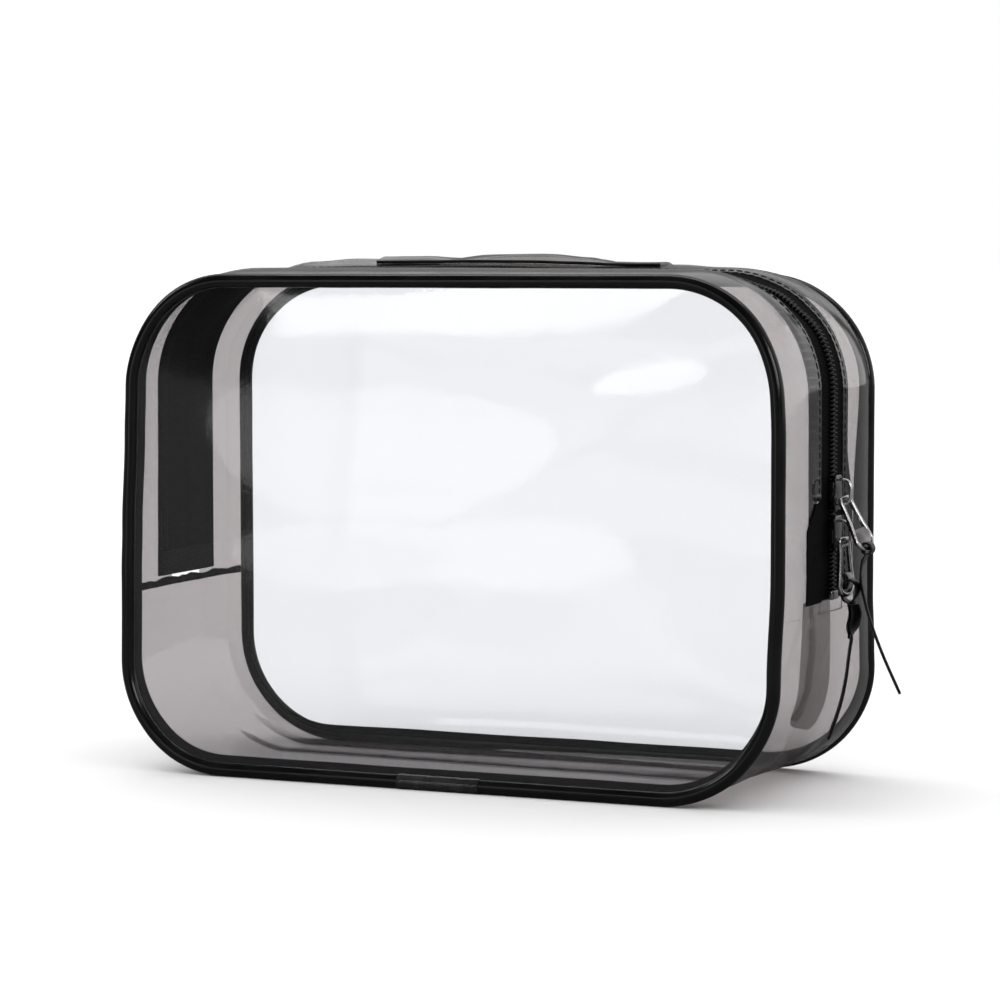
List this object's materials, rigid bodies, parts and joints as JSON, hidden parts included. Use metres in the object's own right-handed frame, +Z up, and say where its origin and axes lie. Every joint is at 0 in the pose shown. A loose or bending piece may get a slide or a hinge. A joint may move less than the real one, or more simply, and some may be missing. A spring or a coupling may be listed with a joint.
{
  "type": "makeup bag",
  "caption": "Clear zipped makeup bag: rounded clear front and back, black piping, smoke grey gusset, wraparound zipper with pulls on one side, top strap handle.",
  "frame": {"origin": "centre of the base, on the level the bag stands on", "axes": "+X along the bag towards the zipper pulls, +Y from front to back, +Z up"},
  "size_m": [0.2857, 0.1, 0.1889],
  "materials": {
    "clear_sheet": "clear glossy soft vinyl",
    "smoke_sheet": "smoke grey see-through glossy soft vinyl",
    "handle_sheet": "smoke grey glossy soft vinyl, double layer",
    "piping": "glossy black vinyl cord",
    "zip_tape": "woven polyester tape",
    "zip_coil": "nylon coil",
    "binding": "ribbed polyester ribbon",
    "black_metal": "black enamel",
    "plated_metal": "gunmetal nickel plate",
    "pull_strap": "black vinyl strap"
  },
  "bodies": {
    "bag": {"front_panel": "clear_sheet", "back_panel": "clear_sheet", "front_piping": "piping", "back_piping": "piping", "zip_gusset_front": "smoke_sheet", "zip_gusset_back": "smoke_sheet", "lower_gusset": "smoke_sheet", "zip_tape_front": "zip_tape", "zip_tape_back": "zip_tape", "zip_coil_front": "zip_coil", "zip_coil_back": "zip_coil", "zip_binding_front": "binding", "zip_binding_back": "binding", "side_seam_right": "smoke_sheet", "side_seam_left": "binding", "zip_stop_right": "plated_metal", "zip_stop_left": "plated_metal", "handle_strap": "handle_sheet"},
    "slider_upper": {"slider_upper_body": "black_metal", "slider_upper_crown": "plated_metal"},
    "slider_lower": {"slider_lower_body": "black_metal", "slider_lower_crown": "plated_metal"},
    "link_upper": {"pull_link_upper": "plated_metal"},
    "link_lower": {"pull_link_lower": "plated_metal"},
    "strap_upper": {"pull_strap_upper": "pull_strap"},
    "strap_lower": {"pull_strap_lower": "pull_strap"}
  },
  "joints": [
    {"name": "slider_upper_slide", "type": "slide", "parent": "bag", "child": "slider_upper", "axis": [0, 0, 1], "range_m": [0, 0.027]},
    {"name": "slider_lower_slide", "type": "slide", "parent": "bag", "child": "slider_lower", "axis": [0, 0, 1], "range_m": [-0.012, 0.0015]},
    {"name": "link_upper_hinge", "type": "hinge", "parent": "slider_upper", "child": "link_upper", "pos_m": [0.1318, 0, 0.1029], "axis": [0, -1, 0], "range_deg": [-6, 120]},
    {"name": "link_lower_hinge", "type": "hinge", "parent": "slider_lower", "child": "link_lower", "pos_m": [0.1318, 0, 0.0889], "axis": [0, -1, 0], "range_deg": [-1.5, 7]},
    {"name": "strap_upper_hinge", "type": "hinge", "parent": "link_upper", "child": "strap_upper", "pos_m": [0.14043, 0, 0.08597], "axis": [0, -1, 0], "range_deg": [-6, 40]},
    {"name": "strap_lower_hinge", "type": "hinge", "parent": "link_lower", "child": "strap_lower", "pos_m": [0.13279, 0, 0.06993], "axis": [0, -1, 0], "range_deg": [-0.5, 8]}
  ]
}
